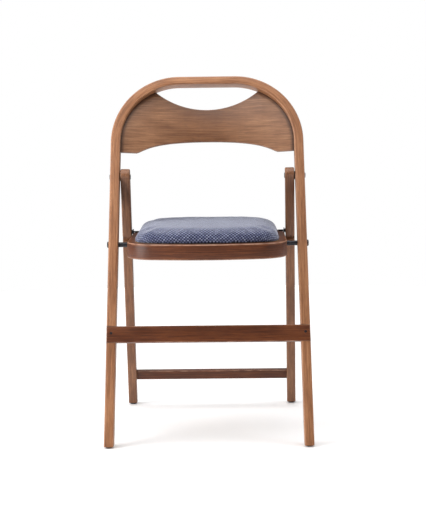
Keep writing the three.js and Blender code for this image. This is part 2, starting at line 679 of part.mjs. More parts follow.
function buildSeat() {
  const height = RING_TOP - RING_BOTTOM;
  const ringShape = seatOutline(0);
  ringShape.holes.push(new THREE.Path(seatOutline(RING_WALL).getPoints(8).reverse()));
  const ring = plate(ringShape, height, 3).translate(0, 0, (RING_TOP + RING_BOTTOM) / 2);
  place(seat, 'seat_ring', cut(ring, ringCutters()), frontWood);
  for (const [name, side] of SIDES) {
    const inside = SEAT_HALF_WIDTH - RING_WALL;
    const bush = tube(BOLT_HOLE_RADIUS, BUSH_RADIUS, inside + GAP, SEAT_HALF_WIDTH - GAP, side);
    place(seat, `seat_pivot_bush_${name}`, bush, blackNylon);
  }

  const blocks = cleatBlocks();
  const screwHoles = blocks.map((block) => cleatScrew(block, GAP));
  const base = plate(seatOutline(RING_WALL + 0.5), BASE_THICKNESS)
    .translate(0, 0, RING_TOP - BASE_DROP - BASE_THICKNESS / 2);
  place(seat, 'seat_base_panel', cut(base, screwHoles), hiddenWood);
  blocks.forEach((block, i) => {
    const [name, low, high] = block;
    place(seat, `seat_cleat_${name}`, cut(box(low, high), [screwHoles[i]]), hiddenWood);
    place(seat, `seat_cleat_screw_${name}`, cleatScrew(block), blackSteel);
  });

  const cushion = plate(seatOutline(CUSHION_INSET, CUSHION_SETBACK), CUSHION_HEIGHT, 8, 5)
    .translate(0, 0, RING_TOP + GAP + CUSHION_HEIGHT / 2);
  place(seat, 'seat_cushion', cushion, blueCloth);
  buildHooks();
}

buildFrontFrame();
buildUpperPivots();
buildSeatPivots();
buildRearLegs();
buildSeat();

// The origin is on the floor, midway between the foremost and the rearmost point
chair.updateMatrixWorld(true);
const extent = new THREE.Box3().setFromObject(chair, true);
chair.position.y = -(extent.min.y + extent.max.y) / 2;

export default chair;
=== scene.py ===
import json
from math import asin, atan, atan2, cos, hypot, pi, radians, sin, sqrt, tan

import bmesh
import bpy
from mathutils import Matrix, Vector, noise


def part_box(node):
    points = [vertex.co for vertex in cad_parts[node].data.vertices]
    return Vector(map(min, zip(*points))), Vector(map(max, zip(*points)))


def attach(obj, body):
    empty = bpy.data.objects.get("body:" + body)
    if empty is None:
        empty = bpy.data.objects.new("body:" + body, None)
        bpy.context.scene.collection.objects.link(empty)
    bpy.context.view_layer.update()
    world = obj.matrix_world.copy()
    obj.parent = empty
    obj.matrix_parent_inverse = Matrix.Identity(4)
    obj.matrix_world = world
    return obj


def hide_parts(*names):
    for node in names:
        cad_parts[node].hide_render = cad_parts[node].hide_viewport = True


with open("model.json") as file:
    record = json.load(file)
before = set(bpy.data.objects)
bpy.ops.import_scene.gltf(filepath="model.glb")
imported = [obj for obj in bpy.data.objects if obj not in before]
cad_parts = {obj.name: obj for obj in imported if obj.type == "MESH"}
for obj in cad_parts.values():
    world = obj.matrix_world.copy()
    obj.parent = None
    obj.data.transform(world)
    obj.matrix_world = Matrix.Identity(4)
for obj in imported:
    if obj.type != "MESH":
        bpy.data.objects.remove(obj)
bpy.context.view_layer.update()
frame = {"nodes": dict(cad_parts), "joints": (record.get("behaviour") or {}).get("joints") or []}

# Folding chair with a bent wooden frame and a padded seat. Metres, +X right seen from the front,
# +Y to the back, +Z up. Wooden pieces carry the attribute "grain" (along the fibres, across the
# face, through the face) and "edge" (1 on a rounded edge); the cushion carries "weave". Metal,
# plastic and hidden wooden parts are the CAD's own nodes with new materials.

MM = 0.001


def joint_point(name):
    """The point that a joint turns about, in the row frame."""
    joint = next(j for j in frame["joints"] if j["name"] == name)
    return Vector(joint["pos_m"])


# ---------------------------------------------------------------- sizes

SEAT_PIVOT = joint_point("seat_fold")
UPPER_PIVOT = joint_point("rear_leg_fold")
LEAN = atan2(UPPER_PIVOT.y - SEAT_PIVOT.y, UPPER_PIVOT.z - SEAT_PIVOT.z)
FOOT_LINE = SEAT_PIVOT.y - SEAT_PIVOT.z * tan(LEAN)

FOOT_HALF_WIDTH = 222.6 * MM
TAPER = 0.01593
TAPER_ANGLE = atan(TAPER)
FRAME_TOP = 817.2 * MM
BAR_WIDTH = 20.6 * MM
TOP_BAR_WIDTH = 17.4 * MM
BAR_DEPTH = 32 * MM
BAR_ROUND = 3 * MM
CORNER_RADIUS = 150 * MM
INNER_CORNER_RADIUS = 131.5 * MM
FLOOR_GAP = 4.3 * MM  # the legs end on the glides

STRETCHER_LOW = 222.1 * MM
STRETCHER_HIGH = 258 * MM
STRETCHER_THICKNESS = 12 * MM
STRETCHER_SCREW_S = 242.8 * MM
RAIL_ROUND = 2 * MM
LAP_CLEARANCE = 0.25 * MM

PANEL_THICKNESS = 8 * MM
PANEL_SETBACK = 10.5 * MM
PANEL_BOW = 20 * MM
PANEL_HALF_CHORD = 190 * MM
PANEL_HOUSING = 5.5 * MM
PANEL_LOW_END = 647.5 * MM
PANEL_LOW_MIDDLE = 675.2 * MM
PANEL_LOW_FLAT_FROM = 154 * MM
PANEL_LOW_HANDLES = (0.76, 0.89)
PANEL_LOW_RISE = 0.25
PANEL_HIGH_MIDDLE = 749 * MM
PANEL_TIP_HALF = 118 * MM

REAR_LEAN = radians(25.66)
REAR_WIDTH = 20.2 * MM
REAR_DEPTH = 28 * MM
REAR_ROUND = 2.5 * MM
REAR_TOP_RISE = 4 * MM
REAR_OUTER_HALF = 190.6 * MM
REAR_SPLAY = asin(9.9 / 624)
REAR_STRETCHER_DOWN = 538.3 * MM
REAR_STRETCHER_HEIGHT = 24.4 * MM
REAR_STRETCHER_DEPTH = 10 * MM
PIN_DOWN = 141 * MM
PIN_RADIUS = 3 * MM
SPACER_RADIUS = 5.3 * MM
LEG_FOLD = radians(40)
SEAT_FOLD = pi / 2 - LEAN

RING_LOW, RING_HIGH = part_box("seat_ring")
RING_WALL = 17.5 * MM
RING_ROUND = 3 * MM
SEAT_FRONT_RADIUS = 480 * MM
SEAT_FRONT_CORNER = 70 * MM
SEAT_BACK_CORNER = 105 * MM
CUSHION_LOW, CUSHION_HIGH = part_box("seat_cushion")
CUSHION_INSET = 14.8 * MM
CUSHION_SETBACK = 0.6 * MM  # less than the solid, so that the cover meets the ring
HOOK_INNER_X = 168.3 * MM
HOOK_POCKET_FRONT = 29 * MM  # from the pin
HOOK_POCKET_BACK = 16 * MM
PIN_ENTRY = 0.76  # share of the fold at which the pins come into the sides of the ring
PIN_CLEARANCE = 0.8 * MM
NOTCH_SHARES = (1, 0.93, 0.86)  # of the fold, where the spacers lie in the rear legs
NOTCH_CLEARANCE = 0.7 * MM


def leaning(x, s, n):
    """A point of the front frame: s up the frame, n towards the back."""
    return Vector((x, FOOT_LINE + s * sin(LEAN) + n * cos(LEAN), s * cos(LEAN) - n * sin(LEAN)))


def on_frame(point):
    """x, s and n of a point in the row frame."""
    y, z = point.y - FOOT_LINE, point.z
    return point.x, y * sin(LEAN) + z * cos(LEAN), y * cos(LEAN) - z * sin(LEAN)


def leg_edge(half, s):
    return half - TAPER * s


def rear_inner(down):
    return REAR_OUTER_HALF - REAR_WIDTH + down * tan(REAR_SPLAY)


LEG_TURN = Matrix.Translation(UPPER_PIVOT) @ Matrix.Rotation(REAR_LEAN, 4, "X")


# ---------------------------------------------------------------- camera, light and floor

LENS = 107.93
CAMERA_PLACE = (0.062, -3.40709, 0.763)
CAMERA_DOWN = radians(6.38)
CAMERA_LEFT = radians(0.88)
CAMERA_ROLL = radians(0.70)


def make_camera():
    data = bpy.data.cameras.new("camera")
    data.lens = LENS
    camera = bpy.data.objects.new("camera", data)
    bpy.context.scene.collection.objects.link(camera)
    turn = (
        Matrix.Rotation(CAMERA_LEFT, 4, "Z")
        @ Matrix.Rotation(-CAMERA_DOWN, 4, "X")
        @ Matrix.Rotation(CAMERA_ROLL, 4, "Y")
        @ Matrix.Rotation(pi / 2, 4, "X")
    )
    camera.matrix_world = Matrix.Translation(CAMERA_PLACE) @ turn
    bpy.context.scene.camera = camera


FLOOR_RADIUS = 2.4
FLOOR_GLOW_FROM = 1.0  # the floor brightens from here out to its edge
FLOOR_GLOW = (0.1, 0.75)
SURROUND = 0.16
WHITE = (1, 1, 1, 1)
SOFT_BOXES = (  # name, place, target, size, watts
    ("left_box", (-2.0, -0.9, 1.0), (0, 0, 0.45), (1.4, 2.0), 56),
    ("right_box", (2.1, -0.5, 1.6), (0, 0, 0.6), (1.2, 1.4), 20),
    ("top_box", (-0.3, -0.2, 2.6), (0, 0, 0.3), (3.2, 3.2), 95),
)


def soft_box(name, place, target, size, watts):
    data = bpy.data.lights.new(name, "AREA")
    data.shape = "RECTANGLE"
    data.size, data.size_y = size
    data.energy = watts
    lamp = bpy.data.objects.new(name, data)
    lamp.location = place
    aim = Vector(target) - Vector(place)
    lamp.rotation_euler = aim.to_track_quat("-Z", "Y").to_euler()
    bpy.context.scene.collection.objects.link(lamp)


def make_studio():
    bpy.context.scene.view_settings.view_transform = "Standard"
    world = bpy.data.worlds.new("studio")
    bpy.context.scene.world = world
    world.use_nodes = True
    nodes, links = world.node_tree.nodes, world.node_tree.links
    nodes.clear()
    surround = nodes.new("ShaderNodeBackground")
    surround.inputs["Strength"].default_value = SURROUND
    backdrop = nodes.new("ShaderNodeBackground")
    for background in (surround, backdrop):
        background.inputs["Color"].default_value = WHITE
    ray = nodes.new("ShaderNodeLightPath")
    mix = nodes.new("ShaderNodeMixShader")
    output = nodes.new("ShaderNodeOutputWorld")
    links.new(ray.outputs["Is Camera Ray"], mix.inputs[0])
    links.new(surround.outputs[0], mix.inputs[1])
    links.new(backdrop.outputs[0], mix.inputs[2])
    links.new(mix.outputs[0], output.inputs["Surface"])

    for box in SOFT_BOXES:
        soft_box(*box)

    bpy.ops.mesh.primitive_circle_add(vertices=96, radius=FLOOR_RADIUS, fill_type="NGON")
    floor = bpy.context.object
    floor.name = "floor"
    paper = Shader("floor_paper")
    place = paper.position()
    mottle = paper.noise(place, (3, 3, 3), detail=2)
    from_middle = paper.vector("LENGTH", place)
    paper.finish(
        base=paper.ramp(mottle, [(0, (240, 240, 241)), (1, (245, 245, 246))]),
        rough=0.9,
        glow=(paper.span(from_middle, FLOOR_GLOW_FROM, FLOOR_RADIUS, *FLOOR_GLOW), WHITE[:3]),
    )
    floor.data.materials.append(paper.material)


# ---------------------------------------------------------------- materials


def linear(colour):
    """An sRGB colour, 0 to 255, as linear RGBA."""
    steps = [c / 255 for c in colour]
    return (*[c / 12.92 if c <= 0.04045 else ((c + 0.055) / 1.055) ** 2.4 for c in steps], 1)


class Shader:
    """A Principled material put together from short node calls."""

    def __init__(self, name):
        self.material = bpy.data.materials.new(name)
        self.material.use_nodes = True
        self.nodes = self.material.node_tree.nodes
        self.links = self.material.node_tree.links
        self.nodes.clear()

    def put(self, socket, value):
        if isinstance(value, bpy.types.NodeSocket):
            self.links.new(value, socket)
        elif value is not None:
            socket.default_value = value

    def position(self):
        return self.nodes.new("ShaderNodeTexCoord").outputs["Object"]

    def attribute(self, name, output="Vector"):
        node = self.nodes.new("ShaderNodeAttribute")
        node.attribute_name = name
        return node.outputs[output]

    def math(self, operation, *values, clamp=False):
        node = self.nodes.new("ShaderNodeMath")
        node.operation = operation
        node.use_clamp = clamp
        for socket, value in zip(node.inputs, values):
            self.put(socket, value)
        return node.outputs[0]

    def total(self, *parts, clamp=True):
        """The sum of (value, weight) pairs."""
        first, *rest = [self.math("MULTIPLY", value, weight) for value, weight in parts]
        for i, part in enumerate(rest, 1):
            first = self.math("ADD", first, part, clamp=clamp and i == len(rest))
        return first

    def vector(self, operation, *values):
        node = self.nodes.new("ShaderNodeVectorMath")
        node.operation = operation
        for socket, value in zip(node.inputs, values):
            self.put(socket, value)
        return node.outputs["Value" if operation == "LENGTH" else "Vector"]

    def split(self, vector):
        node = self.nodes.new("ShaderNodeSeparateXYZ")
        self.put(node.inputs[0], vector)
        return node.outputs

    def noise(self, vector, scale, detail=3.0, rough=0.55, warp=0.0):
        """Noise with a feature size of 1 / scale along each axis."""
        node = self.nodes.new("ShaderNodeTexNoise")
        self.put(node.inputs["Vector"], self.vector("MULTIPLY", vector, scale))
        node.inputs["Scale"].default_value = 1
        node.inputs["Detail"].default_value = detail
        node.inputs["Roughness"].default_value = rough
        node.inputs["Distortion"].default_value = warp
        return node.outputs["Fac"]

    def cell(self, vector):
        """A random number for each whole-number cell."""
        node = self.nodes.new("ShaderNodeTexWhiteNoise")
        self.put(node.inputs["Vector"], self.vector("FLOOR", vector))
        return node.outputs["Value"]

    def ramp(self, value, stops):
        """Blends sRGB colours along a value."""
        node = self.nodes.new("ShaderNodeValToRGB")
        self.put(node.inputs[0], value)
        elements = node.color_ramp.elements
        while len(elements) < len(stops):
            elements.new(0.5)
        for element, (place, colour) in zip(elements, stops):
            element.position = place
            element.color = linear(colour)
        return node.outputs["Color"]

    def span(self, value, low, high, to_low=0.0, to_high=1.0):
        node = self.nodes.new("ShaderNodeMapRange")
        for socket, number in zip(node.inputs, (value, low, high, to_low, to_high)):
            self.put(socket, number)
        return node.outputs[0]

    def mix(self, share, a, b, blend="MIX"):
        node = self.nodes.new("ShaderNodeMix")
        node.data_type = "RGBA"
        node.blend_type = blend
        self.put(node.inputs["Factor"], share)
        colours = [s for s in node.inputs if s.type == "RGBA"]
        for socket, value in zip(colours, (a, b)):
            self.put(socket, value)
        return next(s for s in node.outputs if s.type == "RGBA")

    def finish(self, base, rough, bump=None, glow=None, **constants):
        """Joins it up. bump is (height, distance in metres, strength)."""
        node = self.nodes.new("ShaderNodeBsdfPrincipled")
        self.put(node.inputs["Base Color"], base)
        self.put(node.inputs["Roughness"], rough)
        for name, value in constants.items():
            node.inputs[name.replace("_", " ")].default_value = value
        if glow:
            self.put(node.inputs["Emission Strength"], glow[0])
            node.inputs["Emission Color"].default_value = (*glow[1], 1)
        if bump:
            relief = self.nodes.new("ShaderNodeBump")
            self.put(relief.inputs["Height"], bump[0])
            relief.inputs["Distance"].default_value = bump[1]
            relief.inputs["Strength"].default_value = bump[2]
            self.links.new(relief.outputs[0], node.inputs["Normal"])
        output = self.nodes.new("ShaderNodeOutputMaterial")
        self.links.new(node.outputs[0], output.inputs["Surface"])
        return self.material


PANEL_PAINTED_HIGHLIGHT = (1.85, 2.25, 2.9, 1.0)  # how much lighter the ends are, a painted highlight
PANEL_PAINTED_HIGHLIGHT_REACH = (40 * MM, 165 * MM)  # from the middle, where this starts and is full
# tone of the painted shadow along the joint with the hoop
PANEL_PAINTED_SHADOW = (46, 25, 16)
PANEL_PAINTED_SHADOW_BAND = (8 * MM, 1 * MM)  # inside the hoop, where the painted shadow line starts and is full
PANEL_PAINTED_SHADOW_SHARE = 0.8


def paint_panel_light(wood, grain, colour):
    """Painted light: paler towards the ends as a painted highlight, and darker along the joint with
    the frame as a painted shadow.
    """
    across, up, _ = wood.split(grain)
    reach = wood.math("ABSOLUTE", across)
    # painted highlight: the ends of the panel made paler
    colour = wood.mix(wood.span(reach, *PANEL_PAINTED_HIGHLIGHT_REACH), colour, PANEL_PAINTED_HIGHLIGHT, "MULTIPLY")
    # painted shadow along the inside of the hoop
    centre_x, centre_s, radius = INNER_ARC
    out = wood.math("MAXIMUM", wood.math("SUBTRACT", reach, centre_x), 0.0)
    rise = wood.math("MAXIMUM", wood.math("SUBTRACT", up, centre_s), 0.0)
    square = wood.math("ADD", wood.math("MULTIPLY", out, out), wood.math("MULTIPLY", rise, rise))
    start, full = (radius - band for band in PANEL_PAINTED_SHADOW_BAND)
    painted_joint_shadow = wood.span(wood.math("SQRT", square), start, full, 0.0, PANEL_PAINTED_SHADOW_SHARE)
    return wood.mix(painted_joint_shadow, colour, linear(PANEL_PAINTED_SHADOW))


# How fine the grain is along, across and through a board, per metre
BANDS = (3.5, 170, 170)
FIBRES = (15, 430, 430)
PORES = (75, 2600, 2600)
STAIN = (9, 22, 22)
WEAR_AND_HIGHLIGHT = (55, 160, 160)
BAND_SHARE, FIBRE_SHARE, STAIN_SHARE = 0.16, 0.56, 0.28
PORE_DARKNESS = 0.45


def make_wood(name, tones, worn_and_highlight, shine, coat=0.12, gloss=0.4, rub_and_highlight=0.4, along=None, painted_light=None):
    """Stained wood. tones are dark, middle and light, worn_and_highlight is the tone of the rounded
    edges, partly rubbing and partly a painted highlight, shine is the lowest and highest roughness;
    along names the axis of plain CAD boards."""
    wood = Shader(name)
    if along is None:
        grain = wood.attribute("grain")
        edge = wood.attribute("edge", "Fac")
    else:
        x, y, z = wood.split(wood.position())
        grain = wood.nodes.new("ShaderNodeCombineXYZ")
        for socket, value in zip(grain.inputs, (x, y, z) if along == "x" else (y, x, z)):
            wood.put(socket, value)
        grain = grain.outputs[0]
        edge = 0.0
    bands = wood.noise(grain, BANDS, detail=2, warp=0.4)
    fibres = wood.noise(grain, FIBRES, detail=5, rough=0.7, warp=0.2)
    pores = wood.noise(grain, PORES, detail=1)
    stain = wood.noise(grain, STAIN, detail=2)
    pore = wood.span(pores, 0.57, 0.72)
    tone = wood.total((bands, BAND_SHARE), (fibres, FIBRE_SHARE), (stain, STAIN_SHARE))
    dark, middle, light = tones
    colour = wood.ramp(tone, [(0.39, dark), (0.5, middle), (0.63, light)])
    deep = linear([c * PORE_DARKNESS for c in dark])
    colour = wood.mix(wood.math("MULTIPLY", pore, 0.5), colour, deep)
    # rounded edges made lighter: partly rubbing, partly a painted highlight
    rubbed_and_highlight = wood.span(wood.noise(grain, WEAR_AND_HIGHLIGHT), 0.35, 0.65, rub_and_highlight / 8, rub_and_highlight)
    wear_and_highlight = wood.math("MULTIPLY", edge, rubbed_and_highlight)
    colour = wood.mix(wear_and_highlight, colour, linear(worn_and_highlight))
    # painted light, given for the back panel's painted highlight and shadow
    if painted_light:
        colour = painted_light(wood, grain, colour)
    height = wood.math("SUBTRACT", wood.math("MULTIPLY", fibres, 0.5), pore)
    return wood.finish(
        base=colour,
        rough=wood.span(fibres, 0.3, 0.7, shine[0], shine[1]),
        bump=(height, 0.12 * MM, 0.55),
        Coat_Weight=coat,
        Coat_Roughness=0.3,
        Specular_IOR_Level=gloss,
    )


def make_steel(name, tone):
    steel = Shader(name)
    place = steel.position()
    marks = steel.noise(place, (900, 260, 260), detail=4, rough=0.7)
    specks = steel.noise(place, (2600, 2600, 2600), detail=2)
    low, high = [c * 0.7 for c in tone], [min(255, c * 1.35) for c in tone]
    colour = steel.ramp(marks, [(0.3, low), (0.7, high)])
    return steel.finish(
        base=colour,
        rough=steel.span(marks, 0.3, 0.7, 0.28, 0.5),
        bump=(specks, 0.04 * MM, 0.5),
        Metallic=0.75,
    )


def make_nylon(name, tone):
    nylon = Shader(name)
    place = nylon.position()
    mottle = nylon.noise(place, (180, 180, 180), detail=3)
    pebble = nylon.noise(place, (1900, 1900, 1900), detail=2)
    return nylon.finish(
        base=nylon.ramp(mottle, [(0.3, tone), (0.75, [c * 1.5 for c in tone])]),
        rough=nylon.span(mottle, 0.3, 0.7, 0.45, 0.62),
        bump=(pebble, 0.06 * MM, 0.6),
    )


YARN_ACROSS = 3.7 * MM
YARN_ALONG = 4.4 * MM
YARN_FLAT, YARN_ROUND = 0.55, 0.45  # of a yarn's height, level along it and falling to its ends
BLUE_TONES = [(0.25, (16, 18, 36)), (0.5, (28, 31, 56)), (0.8, (58, 62, 92))]
GREY_TONES = [(0.25, (66, 70, 98)), (0.5, (100, 105, 134)), (0.8, (152, 158, 182))]
# tone of the painted shade between the yarns
YARN_GAP_PAINTED_SHADE = (14, 15, 30)


def make_cloth(name):
    """Coarse plain weave of mixed blue and grey yarns."""
    cloth = Shader(name)
    weave = cloth.vector("MULTIPLY", cloth.attribute("weave"), (1 / YARN_ACROSS, 1 / YARN_ALONG, 1))
    wander = cloth.noise(weave, (0.12, 0.12, 0.12), detail=1)
    weave = cloth.vector("ADD", weave, cloth.vector("MULTIPLY", wander, (0.5, 0.5, 0.0)))
    u, v, _ = cloth.split(weave)
    across = cloth.math("PINGPONG", u, 0.5)
    upward = cloth.math("PINGPONG", v, 0.5)
    cells = cloth.math("ADD", cloth.math("FLOOR", u), cloth.math("FLOOR", v))
    parity = cloth.math("ABSOLUTE", cloth.math("MODULO", cells, 2.0))
    warp = cloth.math("SINE", cloth.math("MULTIPLY", across, pi))
    weft = cloth.math("SINE", cloth.math("MULTIPLY", upward, pi))

    def crown(yarn, other):
        return cloth.math("MULTIPLY", yarn, cloth.math(
            "ADD", YARN_FLAT, cloth.math("MULTIPLY", other, YARN_ROUND)
        ))

    first = cloth.math("MULTIPLY", crown(warp, weft), parity)
    second = cloth.math("MULTIPLY", crown(weft, warp), cloth.math("SUBTRACT", 1.0, parity))
    height = cloth.math("ADD", first, second)
    fuzz = cloth.noise(weave, (6, 2.2, 2.2), detail=3, rough=0.65)
    random = cloth.cell(weave)
    patch = cloth.noise(weave, (0.07, 0.05, 0.05), detail=2)
    uneven = cloth.math("SUBTRACT", patch, 0.5)
    tone = cloth.total((random, 0.3), (fuzz, 0.7), (uneven, 0.12), clamp=False)
    colour = cloth.mix(parity, cloth.ramp(tone, GREY_TONES), cloth.ramp(tone, BLUE_TONES))
    # painted shade in the gaps between the yarns
    gap_shade = cloth.span(height, 0.0, 0.55, 1.0, 0.0)
    colour = cloth.mix(cloth.math("MULTIPLY", gap_shade, 0.7), colour, linear(YARN_GAP_PAINTED_SHADE))
    relief = cloth.math("ADD", height, cloth.math("MULTIPLY", fuzz, 0.35))
    return cloth.finish(
        base=colour,
        rough=cloth.span(fuzz, 0.3, 0.7, 0.82, 0.98),
        bump=(relief, 0.55 * MM, 0.8),
        Sheen_Weight=0.8,
        Sheen_Roughness=0.4,
        Sheen_Tint=(0.86, 0.89, 1.0, 1.0),
        Specular_IOR_Level=0.2,
    )


FRAME_TONES = ((112, 71, 45), (142, 95, 63), (172, 122, 85))
PANEL_TONES = ((84, 50, 29), (107, 68, 41), (132, 89, 57))
# the frame's wood made darker for the rear legs: painted shade, as they stand in shade behind the
# back
REAR_PAINTED_SHADE_TONES = ((94, 58, 36), (121, 79, 52), (148, 104, 72))
DARK_TONES = ((64, 30, 13), (86, 44, 22), (114, 64, 34))
PLAIN_TONES = ((158, 124, 86), (190, 156, 114), (212, 182, 142))
PLAIN_WORN_AND_HIGHLIGHT, PLAIN_SHINE = (214, 186, 150), (0.55, 0.75)


def make_materials():
    return {
        "stained_wood": make_wood("stained_wood", FRAME_TONES, (188, 138, 104), (0.34, 0.5)),
        "panel_wood": make_wood(
            "panel_wood", PANEL_TONES, (176, 126, 94), (0.3, 0.44), coat=0.35, painted_light=paint_panel_light
        ),
        "rear_wood_painted_shade": make_wood("rear_wood_painted_shade", REAR_PAINTED_SHADE_TONES, (170, 124, 92), (0.34, 0.5)),
        "dark_wood": make_wood(
            "dark_wood", DARK_TONES, (186, 144, 118), (0.34, 0.46), coat=0.1, gloss=0.28, rub_and_highlight=0.8
        ),
        "board": make_wood("board", PLAIN_TONES, PLAIN_WORN_AND_HIGHLIGHT, PLAIN_SHINE, along="x"),
        "block": make_wood("block", PLAIN_TONES, PLAIN_WORN_AND_HIGHLIGHT, PLAIN_SHINE, along="y"),
        "seat_cloth": make_cloth("seat_cloth"),
        "black_steel": make_steel("black_steel", (46, 46, 50)),
        "bright_steel": make_steel("bright_steel", (150, 150, 154)),
        "black_nylon": make_nylon("black_nylon", (24, 24, 26)),
    }


# ---------------------------------------------------------------- mesh work


def new_object(name, vertices, faces):
    mesh = bpy.data.meshes.new(name)
    mesh.from_pydata([tuple(v) for v in vertices], [], faces)
    work = bmesh.new()
    work.from_mesh(mesh)
    bmesh.ops.recalc_face_normals(work, faces=work.faces)
    work.to_mesh(mesh)
    work.free()
    obj = bpy.data.objects.new(name, mesh)
    bpy.context.scene.collection.objects.link(obj)
    return obj


def loft(name, rings, joined=False):
    """Skin over rings of equal length, capped at both ends or joined round."""
    count = len(rings[0])
    vertices = [point for ring in rings for point in ring]
    faces = []
    spans = len(rings) if joined else len(rings) - 1
    for i in range(spans):
        a, b = i * count, (i + 1) % len(rings) * count
        for j in range(count):
            k = (j + 1) % count
            faces.append((a + j, a + k, b + k, b + j))
    if not joined:
        faces.append(tuple(range(count)))
        faces.append(tuple(range(len(vertices) - count, len(vertices))))
    return new_object(name, vertices, faces)


ROUND_STEPS = 5


def rounded_section(width, height, radius):
    """Points of a rounded rectangle from (0, 0) to (width, height)."""
    corners = [
        (width - radius, height - radius, 0), (radius, height - radius, 1),
        (radius, radius, 2), (width - radius, radius, 3),
    ]
    points = []
    for cx, cy, quarter in corners:
        for i in range(ROUND_STEPS + 1):
            angle = (quarter + i / ROUND_STEPS) * pi / 2
            points.append((cx + radius * cos(angle), cy + radius * sin(angle)))
    return points


def rounded_plate(name, outline, thickness, radius, place):
    """A plate with rounded edges. outline is [(point, way out)], place maps (a, b, depth)."""
    rings = []
    for end in (0, 1):
        for i in range(ROUND_STEPS + 1):
            angle = (i / ROUND_STEPS if end == 0 else 1 - i / ROUND_STEPS) * pi / 2
            inset = radius * (1 - sin(angle))
            drop = radius * (1 - cos(angle))
            depth = drop if end == 0 else thickness - drop
            rings.append([
                place(p[0] - inset * d[0], p[1] - inset * d[1], depth) for p, d in outline
            ])
    return loft(name, rings)


def in_row(x, y, z):
    return Vector((x, y, z))


def box_object(name, low, high, place):
    xs, ys, zs = zip(low, high)
    corners = [place(x, y, z) for x in xs for y in ys for z in zs]
    faces = [(0, 1, 3, 2), (4, 6, 7, 5), (0, 4, 5, 1), (2, 3, 7, 6), (0, 2, 6, 4), (1, 5, 7, 3)]
    return new_object(name, corners, faces)


CAPSULE_STEPS = 12


def capsule(name, start, end, radius, low_x, high_x, place):
    """A round-ended cutter across X between two points (y, z) of a side view."""
    angle = atan2(end[1] - start[1], end[0] - start[0])
    outline = []
    for centre, first in ((end, -pi / 2), (start, pi / 2)):
        for i in range(CAPSULE_STEPS + 1):
            turn = angle + first + i * pi / CAPSULE_STEPS
            outline.append((centre[0] + radius * cos(turn), centre[1] + radius * sin(turn)))
    rings = [[place(x, y, z) for y, z in outline] for x in (low_x, high_x)]
    return loft(name, rings)


def apply_modifiers(obj):
    graph = bpy.context.evaluated_depsgraph_get()
    graph.update()
    result = bpy.data.meshes.new_from_object(obj.evaluated_get(graph))
    obj.modifiers.clear()
    obj.data = result


def cut_away(obj, cutters):
    for cutter in cutters:
        modifier = obj.modifiers.new("cut", "BOOLEAN")
        modifier.operation = "DIFFERENCE"
        modifier.solver = "EXACT"
        modifier.object = cutter
    apply_modifiers(obj)
    for cutter in cutters:
        bpy.data.objects.remove(cutter)


def give(obj, name, values, kind="FLOAT_VECTOR"):
    """Puts a value for each vertex on the mesh."""
    attribute = obj.data.attributes.new(name, kind, "POINT")
    if kind == "FLOAT_VECTOR":
        attribute.data.foreach_set("vector", [c for value in values for c in value])
    else:
        attribute.data.foreach_set("value", values)


SHARP = 35  # degrees


def smooth(obj, angle=SHARP):
    obj.data.polygons.foreach_set("use_smooth", [True] * len(obj.data.polygons))
    obj.data.set_sharp_from_angle(angle=radians(angle))


def soften(obj, width):
    """Breaks the sharp edges."""
    modifier = obj.modifiers.new("soft_edges", "BEVEL")
    modifier.width = width
    modifier.segments = 2
    modifier.limit_method = "ANGLE"
    modifier.angle_limit = radians(SHARP)
    modifier.harden_normals = True


def edge_share(u, width, v, height, radius):
    """1 on the rounded edge of a bar, 0 on its faces."""
    a = abs(u - width / 2) - (width / 2 - radius)
    b = abs(v - height / 2) - (height / 2 - radius)
    return max(0.0, min(1.0, 1.4 * min(a, b) / radius))


def finish_wood(obj, body, slot, grain_of, node, material=None):
    """grain_of gives a vertex's grain and edge values."""
    values = [grain_of(v.co) for v in obj.data.vertices]
    give(obj, "grain", [value[0] for value in values])
    give(obj, "edge", [value[1] for value in values], "FLOAT")
    smooth(obj)
    obj.data.materials.clear()
    obj.data.materials.append(MATERIALS[material or slot])
    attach(obj, body)
    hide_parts(node)


# Where each board's grain starts, so that no two boards look alike
FRONT_RAIL_GRAIN = 0.7
REAR_RAIL_GRAIN = 1.9
RING_GRAIN = 3.3
REAR_LEG_GRAIN = (0.31, 0.05)


# ---------------------------------------------------------------- front frame


def hoop_arc(half, radius, top):
    """Centre (x, s) and radius of a corner arc of the hoop."""
    s = top - radius
    return leg_edge(half, s) - radius / cos(TAPER_ANGLE), s, radius


OUTER_ARC = hoop_arc(FOOT_HALF_WIDTH, CORNER_RADIUS, FRAME_TOP)
INNER_ARC = hoop_arc(FOOT_HALF_WIDTH - BAR_WIDTH, INNER_CORNER_RADIUS, FRAME_TOP - TOP_BAR_WIDTH)
CORNER_STEPS = 40
LEG_STEPS = 8


def hoop_stations():
    """Pairs of (x, s) on the inner and outer edge, from the right foot over the top to the left."""
    right = []
    straight_end = OUTER_ARC[1] + CORNER_RADIUS * sin(TAPER_ANGLE)
    for i in range(LEG_STEPS):
        s = straight_end * i / LEG_STEPS
        halves = (FOOT_HALF_WIDTH - BAR_WIDTH, FOOT_HALF_WIDTH)
        right.append(tuple((leg_edge(half, s), s) for half in halves))
    for i in range(CORNER_STEPS + 1):
        angle = TAPER_ANGLE + (pi / 2 - TAPER_ANGLE) * i / CORNER_STEPS
        right.append(tuple(
            (x + radius * cos(angle), s + radius * sin(angle))
            for x, s, radius in (INNER_ARC, OUTER_ARC)
        ))
    left = [((-a[0], a[1]), (-b[0], b[1])) for a, b in reversed(right)]
    return right + left


